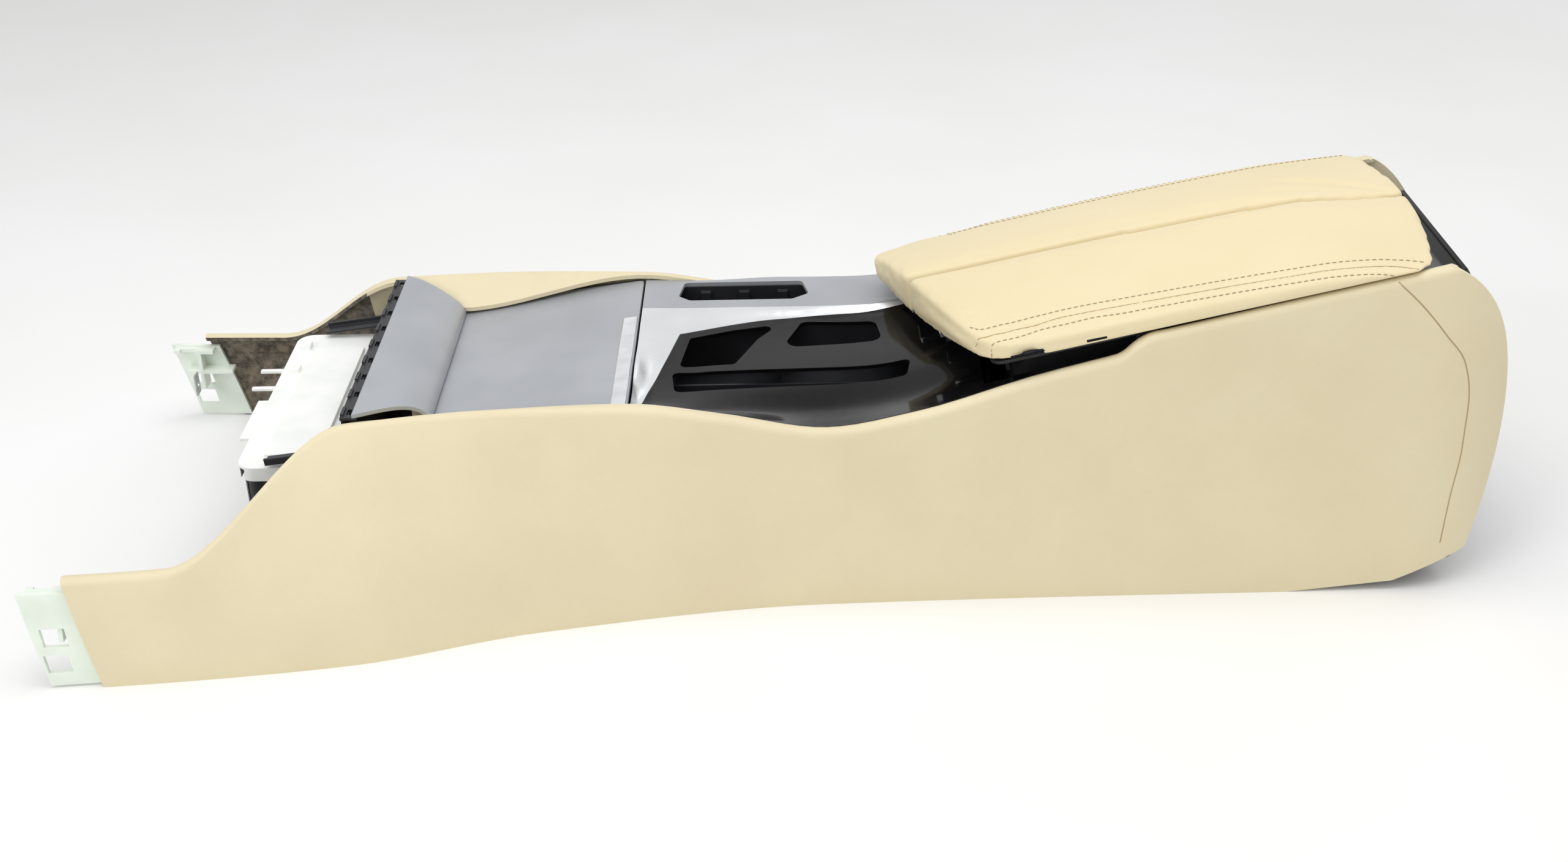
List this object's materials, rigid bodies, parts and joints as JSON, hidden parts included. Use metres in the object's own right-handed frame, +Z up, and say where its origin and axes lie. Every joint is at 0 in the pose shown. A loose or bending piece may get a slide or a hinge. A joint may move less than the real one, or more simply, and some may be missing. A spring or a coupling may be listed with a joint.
{
  "type": "center console",
  "caption": "Car center console with flared leather side panels, sliding cup lid, gloss gear panel with open selector cut-outs, split folding armrest over a bin, and rear vents",
  "frame": {"origin": "middle of the bounding box at floor height", "axes": "+X to the rear of the car, +Y to the car's right side, +Z up"},
  "size_m": [1.0355, 0.409, 0.2688],
  "materials": {
    "panel_leather": "cream leather skin",
    "armrest_leather": "cream leather over foam",
    "felt": "brown felt",
    "carrier_plastic": "black moulded plastic",
    "bracket_plastic": "natural plastic",
    "cap_plastic": "white plastic",
    "satin_grey": "satin grey paint",
    "satin_silver": "satin silver",
    "piano_black": "piano black",
    "bright_trim": "bright trim",
    "hinge_steel": "steel",
    "soft_black": "ribbed rubber"
  },
  "bodies": {
    "console": {"side_panel_left": "panel_leather", "side_panel_right": "panel_leather", "felt_pad_left": "felt", "felt_pad_right": "felt", "panel_stays_left": "carrier_plastic", "panel_stays_right": "carrier_plastic", "front_bracket_left": "bracket_plastic", "front_bracket_right": "bracket_plastic", "bracket_clip_nuts": "hinge_steel", "front_trim_bar": "satin_grey", "bar_clip_rail": "carrier_plastic", "lid_guide_rails": "carrier_plastic", "gear_panel": "piano_black", "silver_trim": "satin_silver", "switch_housing": "carrier_plastic", "selector_well": "carrier_plastic", "carrier_frame": "carrier_plastic", "air_box": "carrier_plastic", "air_box_cap": "cap_plastic", "cup_tray": "carrier_plastic", "air_duct": "carrier_plastic", "storage_bin": "carrier_plastic", "bin_mat": "soft_black", "armrest_frame": "carrier_plastic", "hinge_pins": "hinge_steel", "rear_cover": "carrier_plastic", "vent_housing": "piano_black", "vent_chrome_frame": "bright_trim"},
    "lid": {"sliding_lid": "satin_grey", "lid_grip": "bright_trim"},
    "armrest_left": {"armrest_pad_left": "armrest_leather", "armrest_liner_left": "carrier_plastic", "latch_tongue_left": "carrier_plastic"},
    "armrest_right": {"armrest_pad_right": "armrest_leather", "armrest_liner_right": "carrier_plastic", "latch_tongue_right": "carrier_plastic"},
    "button_left": {"release_button_left": "bright_trim"},
    "button_right": {"release_button_right": "bright_trim"},
    "vent_left": {"vent_grille_left": "carrier_plastic"},
    "vent_right": {"vent_grille_right": "carrier_plastic"}
  },
  "joints": [
    {"name": "lid_slide", "type": "slide", "parent": "console", "child": "lid", "axis": [-0.9919, 0, -0.1271], "range_m": [0, 0.11]},
    {"name": "armrest_left_hinge", "type": "hinge", "parent": "console", "child": "armrest_left", "pos_m": [0.20202, -0.109, 0.2033], "axis": [0.9755, 0, 0.2198], "range_deg": [0, 85]},
    {"name": "armrest_right_hinge", "type": "hinge", "parent": "console", "child": "armrest_right", "pos_m": [0.20202, 0.109, 0.2033], "axis": [-0.9755, 0, -0.2198], "range_deg": [0, 85]},
    {"name": "button_left_press", "type": "slide", "parent": "armrest_left", "child": "button_left", "axis": [0.9755, 0, 0.2198], "range_m": [0, 0.0025], "stiffness_N_per_m": 800},
    {"name": "button_right_press", "type": "slide", "parent": "armrest_right", "child": "button_right", "axis": [0.9755, 0, 0.2198], "range_m": [0, 0.0025], "stiffness_N_per_m": 800},
    {"name": "vent_left_tilt", "type": "hinge", "parent": "console", "child": "vent_left", "pos_m": [0.48723, -0.038, 0.20054], "axis": [0, 1, 0], "range_deg": [-22, 22]},
    {"name": "vent_right_tilt", "type": "hinge", "parent": "console", "child": "vent_right", "pos_m": [0.48723, 0.038, 0.20054], "axis": [0, 1, 0], "range_deg": [-22, 22]}
  ]
}
